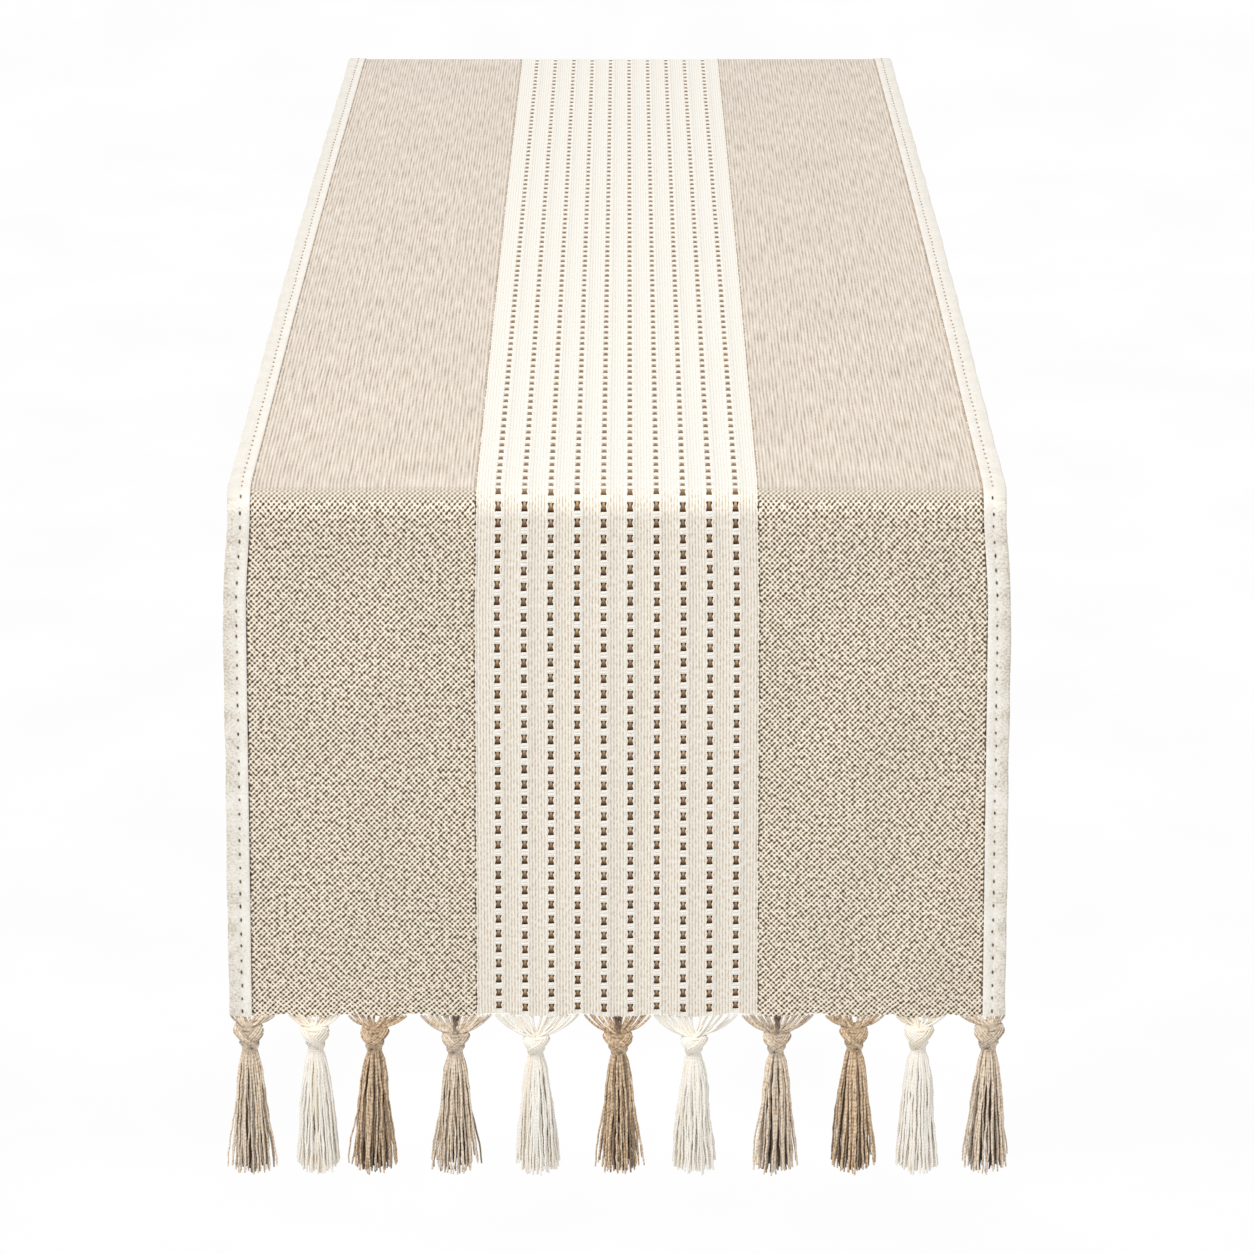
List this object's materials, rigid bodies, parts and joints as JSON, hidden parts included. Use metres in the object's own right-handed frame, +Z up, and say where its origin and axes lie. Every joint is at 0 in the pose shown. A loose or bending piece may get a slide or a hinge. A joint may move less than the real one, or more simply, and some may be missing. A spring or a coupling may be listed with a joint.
{
  "type": "table runner",
  "caption": "Woven table runner draped over a table, striped linen and drawn-thread cotton, with a hanging drop and a knotted tassel fringe at each end.",
  "frame": {"origin": "middle of the underside of the level span, on the table top that carries the cloth", "axes": "+Z up, out of the table top; +Y along the cloth from the front drop to the back drop; +X across it, to the right as seen from the front"},
  "size_m": [0.305, 0.78, 0.2876],
  "materials": {
    "linen": "coarse plain weave, natural flax",
    "cream_cotton": "ribbed cotton, drawn-thread rows",
    "cream_yarn": "loose cotton yarn",
    "beige_yarn": "loose flax yarn",
    "taupe_yarn": "loose flax yarn"
  },
  "bodies": {
    "top_span": {"top_edge_band_left": "cream_cotton", "top_linen_left": "linen", "top_openwork_centre": "cream_cotton", "top_linen_right": "linen", "top_edge_band_right": "cream_cotton"},
    "front_drop": {"front_drop_edge_band_left": "cream_cotton", "front_drop_linen_left": "linen", "front_drop_openwork_centre": "cream_cotton", "front_drop_linen_right": "linen", "front_drop_edge_band_right": "cream_cotton"},
    "front_tassel_01": {"front_tassel_01_knot": "beige_yarn", "front_tassel_01_skirt": "beige_yarn"},
    "front_tassel_02": {"front_tassel_02_knot": "cream_yarn", "front_tassel_02_skirt": "cream_yarn"},
    "front_tassel_03": {"front_tassel_03_knot": "taupe_yarn", "front_tassel_03_skirt": "taupe_yarn"},
    "front_tassel_04": {"front_tassel_04_knot": "beige_yarn", "front_tassel_04_skirt": "beige_yarn"},
    "front_tassel_05": {"front_tassel_05_knot": "cream_yarn", "front_tassel_05_skirt": "cream_yarn"},
    "front_tassel_06": {"front_tassel_06_knot": "taupe_yarn", "front_tassel_06_skirt": "taupe_yarn"},
    "front_tassel_07": {"front_tassel_07_knot": "cream_yarn", "front_tassel_07_skirt": "cream_yarn"},
    "front_tassel_08": {"front_tassel_08_knot": "beige_yarn", "front_tassel_08_skirt": "beige_yarn"},
    "front_tassel_09": {"front_tassel_09_knot": "taupe_yarn", "front_tassel_09_skirt": "taupe_yarn"},
    "front_tassel_10": {"front_tassel_10_knot": "cream_yarn", "front_tassel_10_skirt": "cream_yarn"},
    "front_tassel_11": {"front_tassel_11_knot": "beige_yarn", "front_tassel_11_skirt": "beige_yarn"},
    "back_drop": {"back_drop_edge_band_left": "cream_cotton", "back_drop_linen_left": "linen", "back_drop_openwork_centre": "cream_cotton", "back_drop_linen_right": "linen", "back_drop_edge_band_right": "cream_cotton"},
    "back_tassel_01": {"back_tassel_01_knot": "beige_yarn", "back_tassel_01_skirt": "beige_yarn"},
    "back_tassel_02": {"back_tassel_02_knot": "cream_yarn", "back_tassel_02_skirt": "cream_yarn"},
    "back_tassel_03": {"back_tassel_03_knot": "taupe_yarn", "back_tassel_03_skirt": "taupe_yarn"},
    "back_tassel_04": {"back_tassel_04_knot": "beige_yarn", "back_tassel_04_skirt": "beige_yarn"},
    "back_tassel_05": {"back_tassel_05_knot": "cream_yarn", "back_tassel_05_skirt": "cream_yarn"},
    "back_tassel_06": {"back_tassel_06_knot": "taupe_yarn", "back_tassel_06_skirt": "taupe_yarn"},
    "back_tassel_07": {"back_tassel_07_knot": "cream_yarn", "back_tassel_07_skirt": "cream_yarn"},
    "back_tassel_08": {"back_tassel_08_knot": "beige_yarn", "back_tassel_08_skirt": "beige_yarn"},
    "back_tassel_09": {"back_tassel_09_knot": "taupe_yarn", "back_tassel_09_skirt": "taupe_yarn"},
    "back_tassel_10": {"back_tassel_10_knot": "cream_yarn", "back_tassel_10_skirt": "cream_yarn"},
    "back_tassel_11": {"back_tassel_11_knot": "beige_yarn", "back_tassel_11_skirt": "beige_yarn"}
  },
  "joints": [
    {"name": "front_drop_lift", "type": "hinge", "parent": "top_span", "child": "front_drop", "pos_m": [0, -0.381, 0], "axis": [-1, 0, 0], "range_deg": [0, 90]},
    {"name": "front_tassel_01_swing", "type": "hinge", "parent": "front_drop", "child": "front_tassel_01", "pos_m": [-0.14213, -0.3816, -0.2188], "axis": [1, 0, 0], "range_deg": [-80, 90]},
    {"name": "front_tassel_02_swing", "type": "hinge", "parent": "front_drop", "child": "front_tassel_02", "pos_m": [-0.11956, -0.3816, -0.2188], "axis": [1, 0, 0], "range_deg": [-80, 90]},
    {"name": "front_tassel_03_swing", "type": "hinge", "parent": "front_drop", "child": "front_tassel_03", "pos_m": [-0.09318, -0.3816, -0.2188], "axis": [1, 0, 0], "range_deg": [-80, 90]},
    {"name": "front_tassel_04_swing", "type": "hinge", "parent": "front_drop", "child": "front_tassel_04", "pos_m": [-0.06313, -0.3816, -0.2188], "axis": [1, 0, 0], "range_deg": [-80, 90]},
    {"name": "front_tassel_05_swing", "type": "hinge", "parent": "front_drop", "child": "front_tassel_05", "pos_m": [-0.03126, -0.3816, -0.2188], "axis": [1, 0, 0], "range_deg": [-80, 90]},
    {"name": "front_tassel_06_swing", "type": "hinge", "parent": "front_drop", "child": "front_tassel_06", "pos_m": [0, -0.3816, -0.2188], "axis": [1, 0, 0], "range_deg": [-80, 90]},
    {"name": "front_tassel_07_swing", "type": "hinge", "parent": "front_drop", "child": "front_tassel_07", "pos_m": [0.03126, -0.3816, -0.2188], "axis": [1, 0, 0], "range_deg": [-80, 90]},
    {"name": "front_tassel_08_swing", "type": "hinge", "parent": "front_drop", "child": "front_tassel_08", "pos_m": [0.06313, -0.3816, -0.2188], "axis": [1, 0, 0], "range_deg": [-80, 90]},
    {"name": "front_tassel_09_swing", "type": "hinge", "parent": "front_drop", "child": "front_tassel_09", "pos_m": [0.09318, -0.3816, -0.2188], "axis": [1, 0, 0], "range_deg": [-80, 90]},
    {"name": "front_tassel_10_swing", "type": "hinge", "parent": "front_drop", "child": "front_tassel_10", "pos_m": [0.11956, -0.3816, -0.2188], "axis": [1, 0, 0], "range_deg": [-80, 90]},
    {"name": "front_tassel_11_swing", "type": "hinge", "parent": "front_drop", "child": "front_tassel_11", "pos_m": [0.14213, -0.3816, -0.2188], "axis": [1, 0, 0], "range_deg": [-80, 90]},
    {"name": "back_drop_lift", "type": "hinge", "parent": "top_span", "child": "back_drop", "pos_m": [0, 0.381, 0], "axis": [1, 0, 0], "range_deg": [0, 90]},
    {"name": "back_tassel_01_swing", "type": "hinge", "parent": "back_drop", "child": "back_tassel_01", "pos_m": [-0.14213, 0.3816, -0.2188], "axis": [-1, 0, 0], "range_deg": [-80, 90]},
    {"name": "back_tassel_02_swing", "type": "hinge", "parent": "back_drop", "child": "back_tassel_02", "pos_m": [-0.11956, 0.3816, -0.2188], "axis": [-1, 0, 0], "range_deg": [-80, 90]},
    {"name": "back_tassel_03_swing", "type": "hinge", "parent": "back_drop", "child": "back_tassel_03", "pos_m": [-0.09318, 0.3816, -0.2188], "axis": [-1, 0, 0], "range_deg": [-80, 90]},
    {"name": "back_tassel_04_swing", "type": "hinge", "parent": "back_drop", "child": "back_tassel_04", "pos_m": [-0.06313, 0.3816, -0.2188], "axis": [-1, 0, 0], "range_deg": [-80, 90]},
    {"name": "back_tassel_05_swing", "type": "hinge", "parent": "back_drop", "child": "back_tassel_05", "pos_m": [-0.03126, 0.3816, -0.2188], "axis": [-1, 0, 0], "range_deg": [-80, 90]},
    {"name": "back_tassel_06_swing", "type": "hinge", "parent": "back_drop", "child": "back_tassel_06", "pos_m": [0, 0.3816, -0.2188], "axis": [-1, 0, 0], "range_deg": [-80, 90]},
    {"name": "back_tassel_07_swing", "type": "hinge", "parent": "back_drop", "child": "back_tassel_07", "pos_m": [0.03126, 0.3816, -0.2188], "axis": [-1, 0, 0], "range_deg": [-80, 90]},
    {"name": "back_tassel_08_swing", "type": "hinge", "parent": "back_drop", "child": "back_tassel_08", "pos_m": [0.06313, 0.3816, -0.2188], "axis": [-1, 0, 0], "range_deg": [-80, 90]},
    {"name": "back_tassel_09_swing", "type": "hinge", "parent": "back_drop", "child": "back_tassel_09", "pos_m": [0.09318, 0.3816, -0.2188], "axis": [-1, 0, 0], "range_deg": [-80, 90]},
    {"name": "back_tassel_10_swing", "type": "hinge", "parent": "back_drop", "child": "back_tassel_10", "pos_m": [0.11956, 0.3816, -0.2188], "axis": [-1, 0, 0], "range_deg": [-80, 90]},
    {"name": "back_tassel_11_swing", "type": "hinge", "parent": "back_drop", "child": "back_tassel_11", "pos_m": [0.14213, 0.3816, -0.2188], "axis": [-1, 0, 0], "range_deg": [-80, 90]}
  ]
}
